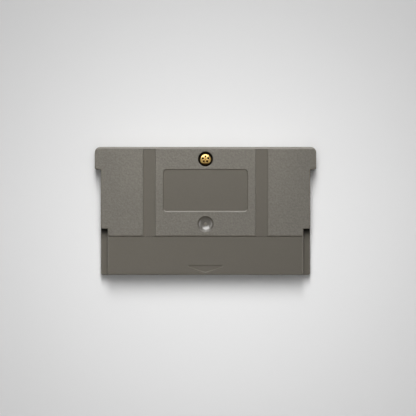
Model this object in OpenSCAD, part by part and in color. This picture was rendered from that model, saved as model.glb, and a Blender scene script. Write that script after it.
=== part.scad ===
// Game cartridge for a handheld console: two moulded shells held by one screw,
// with a circuit board, its chips and a backup cell between them.
// It lies on its front face at Z = 0, so the rear face and its screw point to +Z.
// The connector end points to -Y, and the grip end with the two ears to +Y.

/* [Shell outline] */
// Width of the body below the ears
body_w = 56.8; // [56:0.2:64]
// Length from the connector end to the grip end
body_l = 34.7; // [34:0.1:42]
// Thickness over both shells
body_t = 8; // [7.4:0.1:10]
// How far each ear stands out past the side of the body
ear_out = 1.6; // [1:0.1:3]
// Length of the ears along the side
ear_l = 6.2; // [5:0.1:9]
// Radius of the outer corners of the grip end
ear_corner_r = 1.5; // [0.8:0.1:2.2]
// Radius of the other upright corners
corner_r = 0.6; // [0.55:0.05:1]
// Thickness of the shell walls
wall = 1.2; // [0.9:0.05:1.4]
// Thickness of the front shell's floor
floor_t = 1.3; // [1:0.05:1.5]
// Height of the seam between the two shells
seam_z = 4; // [3.7:0.1:4.6]
// Rounding of the edges around the front and rear faces
face_edge_r = 0.3; // [0.2:0.05:0.5]
// Chamfer on each shell where they meet
seam_chamfer = 0.15; // [0.05:0.05:0.25]
// Width of the bevel along the rear face's grip end
grip_bevel_w = 0.6; // [0.3:0.05:0.9]
// Height of that bevel
grip_bevel_h = 0.24; // [0.2:0.02:0.4]

/* [Connector end] */
// Length of the narrow tongue on the rear shell
tongue_l = 12.5; // [11.6:0.1:15]
// Width of the notch on each side of the tongue
notch_w = 1.9; // [1.4:0.1:2.2]
// Length of the lower band across the tongue
band_l = 10.45; // [9:0.05:11.2]
// How far the band lies below the rear face
band_drop = 0.4; // [0.3:0.05:0.6]
// Width of the engraved arrow
arrow_w = 9.8; // [6:0.2:14]
// Length of the engraved arrow
arrow_l = 2; // [1.2:0.1:3]
// Distance of the arrow's tip from the connector end
arrow_in = 0.6; // [0.5:0.1:3]
// Depth of the engraved arrow
arrow_depth = 0.25; // [0.1:0.05:0.3]

/* [Rear face] */
// Distance of each shallow stripe from the centre line
stripe_x = 15.25; // [14.2:0.05:20]
// Width of each stripe
stripe_w = 3.4; // [2:0.1:5]
// Depth of each stripe
stripe_depth = 0.25; // [0.1:0.05:0.3]
// Distance of the stripes from the bevel at the grip end
stripe_in = 0.05; // [0:0.05:3]
// Width of the recessed panel
panel_w = 23.1; // [16:0.1:24]
// Length of the recessed panel
panel_l = 11.65; // [8:0.05:12]
// Distance between the panel and the counterbore of the screw
panel_gap = 0.68; // [0.4:0.02:0.9]
// Radius of the panel's corners
panel_corner_r = 1; // [0.6:0.1:2]
// Depth of the panel
panel_depth = 0.3; // [0.1:0.05:0.4]
// Distance between the panel and the moulding dimple
dimple_gap = 1.05; // [0.8:0.05:1.3]
// Diameter of the dimple
dimple_d = 4.4; // [3:0.1:5]
// Depth of the dimple
dimple_depth = 0.7; // [0.3:0.05:0.8]
// Diameter of the small nub in the dimple
nub_d = 0.65; // [0.4:0.05:1]
// Height of the nub
nub_h = 0.12; // [0.05:0.01:0.25]
// How far the thickened pad behind the dimple reaches past its rim
pad_rim = 1; // [0.6:0.1:1.6]
// Thickness of that pad
pad_t = 0.4; // [0.2:0.05:0.7]

/* [Screw] */
// Distance of the screw from the grip end
screw_in = 3.3; // [3.1:0.05:3.4]
// Diameter of the counterbore for the head
bore_d = 4; // [3.6:0.1:4.2]
// Diameter of the head
head_d = 3; // [2.6:0.1:3.3]
// Height of the head
head_h = 1.15; // [0.9:0.05:1.4]
// How far the head lies below the rear face
head_sink = 0.85; // [0.4:0.05:1]
// Height of the straight rim of the head
rim_h = 0.8; // [0.5:0.05:0.9]
// Diameter of the shank
shank_d = 1.7; // [1.4:0.1:2]
// Distance of each lobe of the drive from the centre of the head
lobe_x = 0.8; // [0.6:0.05:0.95]
// Diameter of each lobe
lobe_d = 0.5; // [0.3:0.02:0.5]
// Depth of the drive
drive_depth = 0.6; // [0.3:0.05:0.7]
// Wall of the boss around the pilot hole
boss_wall = 1.3; // [0.9:0.1:1.4]
// Wall of the rear shell's tube around the counterbore
tube_wall = 0.6; // [0.4:0.05:0.8]

/* [Label] */
// Width of the label
label_w = 42.4; // [30:0.2:48]
// Length of the label
label_l = 22.4; // [16:0.2:24]
// Thickness of the label
label_t = 0.15; // [0.1:0.01:0.25]
// Radius of the label's corners
label_corner_r = 1; // [0.5:0.1:3]
// Depth of the recess that holds the label
label_recess = 0.3; // [0.26:0.01:0.4]
// Distance of the label from the grip end
label_in = 4.6; // [3:0.1:7]

/* [Board] */
// Thickness of the board
board_t = 1; // [0.8:0.05:1.2]
// Height of the board above the front shell's floor
board_lift = 1.3; // [1:0.05:1.5]
// Distance of the board's edge inside the connector end
board_in = 1.05; // [0.9:0.05:1.5]
// Space between the board and the wall at the grip end
board_head_space = 2.95; // [2.4:0.05:3.1]
// Bevel along the board's connector edge
board_bevel = 0.3; // [0.1:0.05:0.35]
// Number of contact pads
contact_count = 32; // [16:2:32]
// Distance of the outermost pads' middles from the sides of the board
contact_side = 1.75; // [1.2:0.05:3]
// Width of a contact pad
contact_w = 1; // [0.6:0.05:1.1]
// Length of a contact pad
contact_l = 6.4; // [4:0.1:6.8]
// Thickness of a contact pad
contact_t = 0.06; // [0.03:0.01:0.1]
// Distance of the pads from the board's edge
contact_in = 0.6; // [0.4:0.05:0.8]
// Diameter of the pegs that locate the board
peg_d = 2; // [1.6:0.1:2.4]
// Distance of each peg from the side of the board
peg_in_x = 2.4; // [2.2:0.1:3]
// Distance of each peg from the board's edge at the grip end
peg_in_y = 2; // [1.9:0.1:2.6]

/* [Parts on the board] */
// Width of the memory chip
rom_w = 10.2; // [8:0.1:10.6]
// Leads on each side of the memory chip
rom_leads_n = 22; // [14:1:24]
// Distance from one of its leads to the next
rom_pitch = 0.8; // [0.5:0.05:0.9]
// Distance of its outermost leads from the ends of the chip
rom_end = 0.8; // [0.4:0.05:1]
// Length of the save memory chip
ram_l = 11.8; // [9:0.1:12.4]
// Leads on each side of the save memory chip
ram_leads_n = 14; // [8:1:15]
// Distance from one of its leads to the next
ram_pitch = 0.55; // [0.4:0.05:0.65]
// Distance of its outermost leads from the sides of the chip
ram_end = 0.425; // [0.3:0.025:0.6]
// Length of the two small chips
small_l = 5; // [4:0.1:5.2]
// Width of the two small chips
small_w = 4.2; // [3.6:0.1:4.6]
// Leads on each side of the supply switch chip
switch_leads_n = 4; // [3:1:4]
// Distance from one of its leads to the next
switch_pitch = 1.27; // [1:0.01:1.35]
// Leads on each side of the logic chip
logic_leads_n = 7; // [4:1:7]
// Distance from one of its leads to the next
logic_pitch = 0.65; // [0.5:0.05:0.7]
// Thickness of the chips
chip_t = 1; // [0.8:0.05:1.2]
// Distance between a chip and the board
chip_lift = 0.1; // [0.05:0.01:0.15]
// Length of a chip's leads
lead_out = 0.8; // [0.6:0.05:0.9]
// Thickness of a chip's leads
lead_t = 0.15; // [0.1:0.01:0.18]
// Diameter of the backup cell
cell_d = 16; // [12.5:0.1:18]
// Thickness of the backup cell
cell_t = 1.6; // [1.2:0.1:2]
// Width of the cell's metal tabs
tab_w = 3; // [2:0.1:4]
// Thickness of the tabs
tab_t = 0.15; // [0.1:0.01:0.2]
// Length of the foot of each tab on the board
tab_foot = 1.5; // [1.2:0.1:1.7]
// Length of a capacitor
cap_l = 1.6; // [1.2:0.1:1.8]
// Width of a capacitor
cap_w = 0.8; // [0.5:0.05:1]
// Thickness of a capacitor
cap_t = 0.8; // [0.4:0.05:1]
// Number of capacitors in the row by the contacts
cap_count = 6; // [2:1:8]
// Length of a resistor
res_l = 1.6; // [1.2:0.1:2]
// Width of a resistor
res_w = 0.8; // [0.5:0.05:1]
// Thickness of a resistor
res_t = 0.45; // [0.3:0.05:0.6]
// Number of resistors
res_count = 3; // [1:1:3]
// Length of the metal ends of capacitors and resistors
end_l = 0.3; // [0.2:0.05:0.4]

/* [Hidden] */

// Overlap that joins solids and lets cuts pass through faces
eps = 0.05;
// Facets across the rounding of an outer edge
rim_steps = 4;
// Clearance between the shells' sliding and locating features
fit_gap = 0.1;
// Clearance around the board and around the label
board_gap = 0.3;
label_gap = 0.3;
// Free space between neighbouring parts on the board
part_gap = 0.8;
// Distance from the cell's rim to the start of a tab's foot, and between the tabs
tab_rise = 0.4;
tab_gap = 1.6;

// Places along Y
end_y = -body_l / 2;
grip_y = body_l / 2;
tongue_y = end_y + tongue_l;
band_y = end_y + band_l;
ear_y = grip_y - ear_l;
screw_y = grip_y - screw_in;
panel_y = screw_y - bore_d / 2 - panel_gap - panel_l / 2;
dimple_y = panel_y - panel_l / 2 - dimple_gap - dimple_d / 2;
label_y = grip_y - label_in - label_l / 2;

// Widths across X
ears_w = body_w + 2 * ear_out;
tongue_w = body_w - 2 * notch_w;
mouth_w = tongue_w - 2 * wall;
inner_w = body_w - 2 * wall;
board_w = mouth_w - 2 * board_gap;

// Heights
band_z = body_t - band_drop;
roof_z = body_t - wall;
mouth_roof_z = band_z - wall;
board_z = floor_t + board_lift;
top_z = board_z + board_t;
seat_z = body_t - head_sink - head_h;

// The board's ends and its row of contacts
board_y0 = end_y + board_in;
board_y1 = grip_y - wall - board_head_space;
board_l = board_y1 - board_y0;
contact_x = board_w / 2 - contact_side;
contact_pitch = 2 * contact_x / (contact_count - 1);
contact_y = board_y0 + contact_in + contact_l / 2;
contact_end_y = board_y0 + contact_in + contact_l;

// The memory chips are as long as their rows of leads
rom_l = (rom_leads_n - 1) * rom_pitch + 2 * rom_end;
ram_w = (ram_leads_n - 1) * ram_pitch + 2 * ram_end;

// The cell, the memory and the save memory share out the board's width
gap_x = (board_w - cell_d - rom_l - ram_w) / 4;
cell_x = -board_w / 2 + gap_x + cell_d / 2;
rom_x = cell_x + cell_d / 2 + gap_x + rom_l / 2;
ram_x = rom_x + rom_l / 2 + gap_x + ram_w / 2;

// The capacitors, the memory and the small chips share out the board's length
gap_y = (board_y1 - contact_end_y - cap_l - lead_span(rom_w) - small_l) / 4;
cap_y = contact_end_y + gap_y + cap_l / 2;
rom_y = cap_y + cap_l / 2 + gap_y + lead_span(rom_w) / 2;
small_y = board_y1 - gap_y - small_l / 2;
cell_gap = (board_y1 - contact_end_y - cell_d - tab_rise - tab_foot) / 2;
cell_y = contact_end_y + cell_gap + cell_d / 2;

// The small chips stand on both sides of the screw's tube
switch_x = bore_d / 2 + tube_wall + part_gap / 2 + lead_span(small_w) / 2;
logic_x = -switch_x;

// The diode is a standard three-legged package
diode_l = 2.9;
diode_w = 1.3;
diode_t = 0.95;
diode_lead_out = 0.5;
diode_lead_w = 0.4;
diode_pitch = 0.95;
diode_x = switch_x + lead_span(small_w) / 2 + part_gap + diode_w / 2 + diode_lead_out;
res_x = diode_x + diode_w / 2 + diode_lead_out + part_gap / 2 + res_w / 2;

// Details of the front shell
boss_rise = 0.8;
boss_z = top_z + boss_rise;
pilot_gap = 0.02;
lip_t = 0.6;
lip_h = 0.7;
lip_root = 1;
rib_t = 0.8;
rib_count = 5;
rib_pitch = 8;
peg_rise = 1;
peg_gap = 0.15;
peg_shoulder = 0.7;
ledge_w = 1;
sill_drop = 0.2;
peg_x = board_w / 2 - peg_in_x;
peg_y = board_y1 - peg_in_y;

// Rib in the rear shell behind the contacts, clear of the capacitors below it
stop_rib_t = 0.6;
stop_rib_z = top_z + cap_t + 2 * fit_gap;

// Hooks that lock the shells together at the connector end
hook_in = 5.5;
hook_l = 3.5;
hook_reach = 1.4;
hook_t = 0.6;
hook_drop = 1.6;

// Distance over both rows of leads of a chip of the given width
function lead_span(w) = w + 2 * lead_out;
// Outer diameter of the screw boss
function boss_d() = shank_d + 2 * boss_wall;
// Points along an arc about [cx, cy]
function arc(cx, cy, r, a0, a1, n) =
    [for (i = [0:n]) let (a = a0 + (a1 - a0) * i / n) [cx + r * cos(a), cy + r * sin(a)]];
// Outline of a rectangle with rounded corners, centred on the origin
function rounded(w, l, r, n = 6) = concat(
    arc(w / 2 - r, l / 2 - r, r, 0, 90, n),
    arc(-w / 2 + r, l / 2 - r, r, 90, 180, n),
    arc(-w / 2 + r, -l / 2 + r, r, 180, 270, n),
    arc(w / 2 - r, -l / 2 + r, r, 270, 360, n)
);

// Upright round post whose lower and upper rims are rounded by e0 and e1
module post(r, z0, z1, e0, e1, n0, n1) {
    rotate_extrude($fn = 32)
        polygon(concat(
            [[0, z0]],
            arc(r - e0, z0 + e0, e0, -90, 0, n0),
            arc(r - e1, z1 - e1, e1, 0, 90, n1),
            [[0, z1]]
        ));
}

// Block from y0 to y1 with rounded corners and rims, r0 at its y0 end, r1 at y1
module block(w, y0, y1, r0, r1, z0, z1, e0, e1, n0, n1) {
    hull()
        for (side = [-1, 1]) {
            translate([side * (w / 2 - r0), y0 + r0, 0])
                post(r0, z0, z1, e0, e1, n0, n1);
            translate([side * (w / 2 - r1), y1 - r1, 0])
                post(r1, z0, z1, e0, e1, n0, n1);
        }
}

// Box given by its low corner and its high corner
module span_box(low, high) {
    translate(low)
        cube(high - low);
}

// The same feature on the left and on the right
module both_sides() {
    children();
    mirror([1, 0, 0])
        children();
}

// Straight stretch of the lip that centres the rear shell, its wall at u = 0
module lip_bar(length) {
    inner = fit_gap + lip_t;
    rotate([90, 0, 90])
        linear_extrude(length, center = true)
            polygon([
                [-eps, seam_z - lip_root - inner],
                [inner, seam_z - lip_root],
                [inner, seam_z + lip_h],
                [fit_gap, seam_z + lip_h],
                [fit_gap, seam_z],
                [-eps, seam_z]
            ]);
}

// Lip along both sides and along the grip end, open where the screw tube stands
module lip() {
    side_y0 = tongue_y + 2 * wall;
    side_y1 = grip_y - wall - fit_gap - lip_t - board_gap;
    end_x0 = bore_d / 2 + tube_wall + board_gap;
    end_x1 = inner_w / 2 - lip_t - board_gap;
    both_sides() {
        translate([-inner_w / 2, (side_y0 + side_y1) / 2, 0])
            rotate([0, 0, -90])
                lip_bar(side_y1 - side_y0);
        translate([(end_x0 + end_x1) / 2, grip_y - wall, 0])
            rotate([0, 0, 180])
                lip_bar(end_x1 - end_x0);
    }
}

// Pocket in the front shell's rail that takes a hook and lets it slide in
module hook_pocket() {
    y0 = end_y + hook_in;
    z0 = seam_z - hook_drop - fit_gap;
    x0 = mouth_w / 2 - eps;
    x1 = tongue_w / 2;
    span_box([x0, y0 - fit_gap, z0], [x1, y0 + hook_l + hook_reach + fit_gap, seam_z + eps]);
    span_box([x0, y0 - hook_reach - fit_gap, z0], [x1, y0, z0 + hook_t + 2 * fit_gap]);
}

// Hook below the tongue's side wall
module hook() {
    y0 = end_y + hook_in;
    z0 = seam_z - hook_drop;
    x0 = mouth_w / 2;
    x1 = tongue_w / 2 - fit_gap;
    span_box([x0, y0, z0], [x1, y0 + hook_l, seam_z + 2 * wall]);
    span_box([x0, y0 - hook_reach, z0], [x1, y0 + eps, z0 + hook_t]);
}

// Half of a moulded case that holds the board, with the label's recess outside
module front_shell() {
    color([0.44, 0.43, 0.4]) {
        difference() {
            union() {
                difference() {
                    union() {
                        front_block(body_w, end_y, corner_r);
                        front_block(ears_w, ear_y, ear_corner_r);
                    }
                    front_hollow();
                    label_seat();
                }
                board_supports();
            }
            both_sides()
                hook_pocket();
        }
        lip();
        screw_boss();
    }
}

// Block of the front shell's outer form that reaches from y0 to the grip end
module front_block(w, y0, r1) {
    block(w, y0, grip_y, corner_r, r1, 0, seam_z, face_edge_r, seam_chamfer, rim_steps, 1);
}

// Recess of the label, open to the front face
module label_seat() {
    w = label_w + 2 * label_gap;
    l = label_l + 2 * label_gap;
    translate([0, label_y, -eps])
        linear_extrude(label_recess + eps)
            polygon(rounded(w, l, label_corner_r + label_gap));
}

// Hollow of the front shell: the main room, the rooms in the ears and the mouth
module front_hollow() {
    hw = mouth_w / 2;
    z1 = seam_z + eps;
    span_box([-inner_w / 2, tongue_y + wall, floor_t], [inner_w / 2, grip_y - wall, z1]);
    span_box([-ears_w / 2 + wall, ear_y + wall, floor_t], [ears_w / 2 - wall, grip_y - wall, z1]);
    span_box([-hw, end_y + wall, floor_t], [hw, tongue_y + wall + eps, z1]);
    span_box([-hw, end_y - eps, board_z - sill_drop], [hw, end_y + wall + eps, z1]);
}

// Boss that the screw bites into, with a blind pilot hole and three gussets,
// one of which also carries the board
module screw_boss() {
    z0 = floor_t - eps;
    difference() {
        union() {
            translate([0, screw_y, z0])
                cylinder(d = boss_d(), h = boss_z - z0, $fn = 48);
            span_box([-boss_d(), screw_y - rib_t / 2, z0], [boss_d(), screw_y + rib_t / 2, board_z]);
            span_box([-rib_t / 2, screw_y - boss_d(), z0], [rib_t / 2, screw_y, board_z]);
        }
        translate([0, screw_y, floor_t + eps])
            cylinder(d = shank_d + 2 * pilot_gap, h = boss_z, $fn = 48);
    }
}

// Ledges, ribs and shouldered pegs that carry the board
module board_supports() {
    ledge_y1 = tongue_y + wall;
    both_sides() {
        span_box(
            [board_w / 2 - ledge_w, end_y + wall - eps, floor_t - eps],
            [mouth_w / 2 + eps, ledge_y1, board_z]
        );
        translate([peg_x, peg_y, floor_t - eps]) {
            cylinder(d = peg_d + 2 * peg_shoulder, h = board_z - floor_t + eps, $fn = 32);
            cylinder(d = peg_d, h = top_z + peg_rise - floor_t, $fn = 32);
            translate([0, 0, top_z + peg_rise - floor_t])
                cylinder(d1 = peg_d, d2 = peg_d - 4 * peg_gap, h = 2 * peg_gap, $fn = 32);
        }
    }
    for (i = [0:rib_count - 1]) {
        x = (i - (rib_count - 1) / 2) * rib_pitch;
        span_box([x - rib_t / 2, end_y + wall - eps, floor_t - eps], [x + rib_t / 2, cap_y, board_z]);
    }
}

// Half of a moulded case with the tongue, the screw's counterbore and the relief
module rear_shell() {
    color([0.46, 0.45, 0.42]) {
        difference() {
            rear_body();
            rear_hollow();
            both_sides()
                translate([stripe_x, 0, 0])
                    stripe_cut();
            grip_bevel();
            panel_cut();
            dimple_cut();
            arrow_cut();
            screw_cut();
            both_sides()
                peg_socket_hole();
        }
        translate([0, dimple_y, body_t - dimple_depth - eps])
            cylinder(d = nub_d, h = nub_h + eps, $fn = 24);
        both_sides()
            hook();
    }
}

// Outer form of the rear shell, with solid stock for its tube and its sockets
module rear_body() {
    rear_block(body_w, tongue_y, grip_y, corner_r, body_t);
    rear_block(ears_w, ear_y, grip_y, ear_corner_r, body_t);
    rear_block(tongue_w, band_y, ear_y, corner_r, body_t);
    rear_block(tongue_w, end_y, ear_y, corner_r, band_z);
    both_sides()
        translate([peg_x, peg_y, top_z])
            cylinder(d = peg_d + 2 * (peg_gap + peg_shoulder), h = seam_z - top_z + eps, $fn = 32);
}

// Block of the rear shell's outer form, from the seam up to z1
module rear_block(w, y0, y1, r1, z1) {
    block(w, y0, y1, corner_r, r1, seam_z, z1, seam_chamfer, face_edge_r, 1, rim_steps);
}

// Hollow of the rear shell around the tube, the sockets and the dimple's pad
module rear_hollow() {
    difference() {
        union() {
            span_box([-inner_w / 2, tongue_y + wall, seam_z - eps], [inner_w / 2, grip_y - wall, roof_z]);
            span_box(
                [-ears_w / 2 + wall, ear_y + wall, seam_z - eps],
                [ears_w / 2 - wall, grip_y - wall, roof_z]
            );
            span_box(
                [-mouth_w / 2, end_y - eps, seam_z - eps],
                [mouth_w / 2, tongue_y + wall + eps, mouth_roof_z]
            );
        }
        translate([0, screw_y, boss_z])
            cylinder(d = bore_d + 2 * tube_wall, h = body_t, $fn = 48);
        both_sides()
            translate([peg_x, peg_y, top_z])
                cylinder(d = peg_d + 2 * (peg_gap + peg_shoulder), h = body_t, $fn = 32);
        translate([0, dimple_y, roof_z - pad_t])
            cylinder(d = dimple_d + 2 * pad_rim, h = body_t, $fn = 48);
        stop_rib();
    }
}

// Rib across the mouth that stops the console's connector and shields the parts
module stop_rib() {
    y = contact_end_y + gap_y / 2;
    span_box(
        [-mouth_w / 2, y - stop_rib_t / 2, stop_rib_z],
        [mouth_w / 2, y + stop_rib_t / 2, body_t]
    );
}

// Counterbore with a small rim chamfer, and the hole for the shank
module screw_cut() {
    rim = 0.15;
    translate([0, screw_y, 0]) {
        translate([0, 0, seat_z])
            cylinder(d = bore_d, h = body_t, $fn = 64);
        translate([0, 0, body_t - rim])
            cylinder(d1 = bore_d, d2 = bore_d + 4 * rim, h = 2 * rim, $fn = 64);
        translate([0, 0, seam_z - eps])
            cylinder(d = shank_d + 2 * fit_gap, h = body_t, $fn = 48);
    }
}

// Blind hole that takes a peg
module peg_socket_hole() {
    translate([peg_x, peg_y, 0])
        cylinder(d = peg_d + 2 * peg_gap, h = top_z + peg_rise + 4 * peg_gap, $fn = 32);
}

// Bevel across the whole width at the grip end
module grip_bevel() {
    rotate([90, 0, 90])
        linear_extrude(ears_w + 2 * eps, center = true)
            polygon([
                [grip_y - 2 * grip_bevel_w, body_t + grip_bevel_h],
                [grip_y + grip_bevel_w, body_t - 2 * grip_bevel_h],
                [grip_y + grip_bevel_w, body_t + grip_bevel_h]
            ]);
}

// Shallow stripe with sloped flanks, from the band up to the bevel at the grip end
module stripe_cut() {
    flank = stripe_depth / 2;
    y0 = band_y - face_edge_r;
    y1 = grip_y - grip_bevel_w - stripe_in;
    translate([0, y1, 0])
        rotate([90, 0, 0])
            linear_extrude(y1 - y0)
                polygon([
                    [-stripe_w / 2 + flank, body_t - stripe_depth],
                    [stripe_w / 2 - flank, body_t - stripe_depth],
                    [stripe_w / 2 + flank, body_t + stripe_depth],
                    [-stripe_w / 2 - flank, body_t + stripe_depth]
                ]);
}

// Recessed panel with rounded corners and a sloped rim
module panel_cut() {
    slope = 0.3;
    r = panel_corner_r;
    hull()
        for (sx = [-1, 1], sy = [-1, 1])
            translate([sx * (panel_w / 2 - r), panel_y + sy * (panel_l / 2 - r), body_t - panel_depth])
                cylinder(r1 = r - slope, r2 = r + slope, h = 2 * panel_depth, $fn = 32);
}

// Round moulding dimple, nearly flat in the middle and steep at its rim
module dimple_cut() {
    a = dimple_d / 2;
    steps = 10;
    translate([0, dimple_y, body_t])
        rotate_extrude($fn = 96)
            polygon(concat(
                [for (i = [0:steps]) [a * i / steps, -dimple_depth * (1 - pow(i / steps, 3))]],
                [[a + eps, eps], [0, eps]]
            ));
}

// Engraved arrow that shows which way the cartridge goes in
module arrow_cut() {
    hull() {
        arrow_slice(-arrow_depth, band_z + arrow_depth);
        arrow_slice(arrow_depth, band_z - arrow_depth);
    }
}

// Thin slice of the arrow's outline, drawn in by the given amount
module arrow_slice(inset, z) {
    end_h = 0.3;
    tip_y = end_y + arrow_in + inset;
    top_y = end_y + arrow_in + arrow_l - inset / 2;
    x = arrow_w / 2 - 2 * inset;
    translate([0, 0, z])
        linear_extrude(0.01)
            polygon([[-x, top_y], [x, top_y], [x, top_y - end_h], [0, tip_y], [-x, top_y - end_h]]);
}

// Self-tapping screw with a domed head and a five-lobed drive
module case_screw() {
    r = head_d / 2;
    dome_h = head_h - rim_h;
    dome_r = (r * r + dome_h * dome_h) / (2 * dome_h);
    shank_l = seat_z - floor_t - 0.5;
    tip_h = 0.5;
    color([0.83, 0.66, 0.3])
        translate([0, screw_y, 0])
            difference() {
                union() {
                    translate([0, 0, seat_z])
                        cylinder(d = head_d, h = rim_h, $fn = 64);
                    translate([0, 0, seat_z + rim_h - eps])
                        intersection() {
                            cylinder(d = head_d, h = head_h, $fn = 64);
                            translate([0, 0, dome_h - dome_r])
                                sphere(r = dome_r, $fn = 96);
                        }
                    translate([0, 0, seat_z - shank_l + tip_h])
                        cylinder(d = shank_d, h = shank_l - tip_h + eps, $fn = 48);
                    translate([0, 0, seat_z - shank_l])
                        cylinder(d1 = shank_d - tip_h, d2 = shank_d, h = tip_h, $fn = 48);
                }
                for (i = [0:4])
                    rotate([0, 0, 90 + i * 72])
                        translate([lobe_x, 0, seat_z + head_h - drive_depth])
                            cylinder(d = lobe_d, h = head_h, $fn = 24);
            }
}

// Film label in the recess of the front shell
module front_label() {
    color([0.78, 0.8, 0.83])
        translate([0, label_y, label_recess - label_t])
            linear_extrude(label_t)
                polygon(rounded(label_w, label_l, label_corner_r));
}

// Board with bevelled connector edge, a notch for the boss and two peg holes
module circuit_board() {
    notch_r = boss_d() / 2 + board_gap;
    corner = 0.8;
    hw = board_w / 2;
    color([0.12, 0.33, 0.2])
        difference() {
            translate([0, 0, board_z])
                linear_extrude(board_t)
                    polygon([
                        [-hw + corner, board_y0], [hw - corner, board_y0], [hw, board_y0 + corner],
                        [hw, board_y1], [-hw, board_y1], [-hw, board_y0 + corner]
                    ]);
            translate([0, screw_y, board_z - eps])
                cylinder(r = notch_r, h = board_t + 2 * eps, $fn = 48);
            both_sides()
                translate([peg_x, peg_y, board_z - eps])
                    cylinder(d = peg_d + 2 * peg_gap, h = board_t + 2 * eps, $fn = 32);
            edge_bevel();
        }
}

// Wedges cut from both faces of the board along its connector edge
module edge_bevel() {
    b = board_bevel;
    rotate([90, 0, 90])
        linear_extrude(board_w + 2 * eps, center = true) {
            polygon([
                [board_y0 - b, top_z + b], [board_y0 - b, top_z - 2 * b], [board_y0 + b, top_z + b]
            ]);
            polygon([
                [board_y0 - b, board_z - b], [board_y0 - b, board_z + 2 * b], [board_y0 + b, board_z - b]
            ]);
        }
}

// Row of gold pads that the console's contacts touch
module edge_contacts() {
    color([0.85, 0.7, 0.35])
        for (i = [0:contact_count - 1])
            translate([-contact_x + i * contact_pitch, contact_y, top_z + contact_t / 2])
                cube([contact_w, contact_l, contact_t], center = true);
}

// Flat chip body with a small mark by its first lead
module chip_body(l, w) {
    mark_d = 0.8;
    mark_in = 1;
    mark_depth = 0.08;
    difference() {
        translate([-l / 2, -w / 2, top_z + chip_lift])
            cube([l, w, chip_t]);
        translate([-l / 2 + mark_in, -w / 2 + mark_in, top_z + chip_lift + chip_t - mark_depth])
            cylinder(d = mark_d, h = chip_t, $fn = 24);
    }
}

// Both rows of gull-wing leads of a chip whose rows run along X
module lead_rows(w, n, pitch, lead_w) {
    out = lead_out;
    t = lead_t;
    z = chip_lift + chip_t / 2;
    knee = out / 3;
    for (turn = [0, 180])
        rotate([0, 0, turn])
            for (i = [0:n - 1])
                translate([(i - (n - 1) / 2) * pitch, w / 2, top_z])
                    rotate([90, 0, 90])
                        linear_extrude(lead_w, center = true)
                            polygon([
                                [0, z - t / 2], [0, z + t / 2], [knee + t, z + t / 2], [knee + t, t],
                                [out, t], [out, 0], [knee, 0], [knee, z - t / 2]
                            ]);
}

// Mask memory
module rom_chip() {
    color([0.13, 0.13, 0.14])
        translate([rom_x, rom_y, 0])
            chip_body(rom_l, rom_w);
}

module rom_leads() {
    color([0.72, 0.73, 0.75])
        translate([rom_x, rom_y, 0])
            lead_rows(rom_w, rom_leads_n, rom_pitch, 0.4 * rom_pitch);
}

// Memory for saved games, with its leads at the short sides
module save_ram_chip() {
    color([0.13, 0.13, 0.14])
        translate([ram_x, rom_y, 0])
            chip_body(ram_w, ram_l);
}

module save_ram_leads() {
    color([0.72, 0.73, 0.75])
        translate([ram_x, rom_y, 0])
            lead_rows(ram_l, ram_leads_n, ram_pitch, 0.4 * ram_pitch);
}

// Chip that switches the save memory from the console's supply to the cell
module supply_switch_chip() {
    color([0.13, 0.13, 0.14])
        translate([switch_x, small_y, 0])
            rotate([0, 0, 90])
                chip_body(small_l, small_w);
}

module supply_switch_leads() {
    color([0.72, 0.73, 0.75])
        translate([switch_x, small_y, 0])
            rotate([0, 0, 90])
                lead_rows(small_w, switch_leads_n, switch_pitch, 0.3 * switch_pitch);
}

// Small gate chip
module logic_chip() {
    color([0.13, 0.13, 0.14])
        translate([logic_x, small_y, 0])
            rotate([0, 0, 90])
                chip_body(small_l, small_w);
}

module logic_leads() {
    color([0.72, 0.73, 0.75])
        translate([logic_x, small_y, 0])
            rotate([0, 0, 90])
                lead_rows(small_w, logic_leads_n, logic_pitch, 0.4 * logic_pitch);
}

// Sealed coin cell, its smaller pole against the board
module backup_battery() {
    r = cell_d / 2;
    rim = 0.3;
    cap_in = 1.4;
    color([0.75, 0.76, 0.78])
        translate([cell_x, cell_y, top_z + tab_t])
            rotate_extrude($fn = 96)
                polygon([
                    [0, 0], [r - cap_in, 0], [r - cap_in + rim / 2, rim / 2], [r - cap_in + rim / 2, rim],
                    [r - rim, rim], [r, 2 * rim], [r, cell_t - rim], [r - rim, cell_t], [0, cell_t]
                ]);
}

// Strip welded on the top of the cell and bent down to the board beyond its rim
module battery_top_tab() {
    start = cell_d / 5;
    bend = cell_d / 2 + tab_rise;
    z = tab_t + cell_t;
    t = tab_t;
    color([0.7, 0.71, 0.72])
        translate([cell_x - (tab_w + tab_gap) / 2, cell_y, top_z])
            rotate([90, 0, 90])
                linear_extrude(tab_w, center = true)
                    polygon([
                        [start, z], [start, z + t], [bend, z + t], [bend, t],
                        [bend + tab_foot, t], [bend + tab_foot, 0], [bend - t, 0], [bend - t, z]
                    ]);
}

// Flat strip from under the cell to its foot beside the other tab's
module battery_bottom_tab() {
    start = cell_d / 5;
    l = cell_d / 2 + tab_rise + tab_foot;
    color([0.7, 0.71, 0.72])
        translate([cell_x + tab_gap / 2, cell_y - start, top_z])
            cube([tab_w, l + start, tab_t]);
}

// Solder on the feet of both tabs
module tab_solder() {
    d = 0.85 * tab_foot;
    y = cell_y + cell_d / 2 + tab_rise + tab_foot / 2;
    color([0.78, 0.79, 0.8])
        for (side = [-1, 1])
            translate([cell_x + side * (tab_w + tab_gap) / 2, y, top_z + tab_t])
                cylinder(d1 = d, d2 = d / 2, h = d / 4, $fn = 32);
}

// Places of the capacitors, in a row by the contacts
function cap_places() =
    [for (i = [0:cap_count - 1]) [rom_x - rom_l / 2 + rom_l * (i + 0.5) / cap_count, cap_y]];
// Places of the resistors, side by side next to the diode
function res_places() = [for (i = [0:res_count - 1]) [res_x + i * (res_w + part_gap), small_y]];

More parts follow.
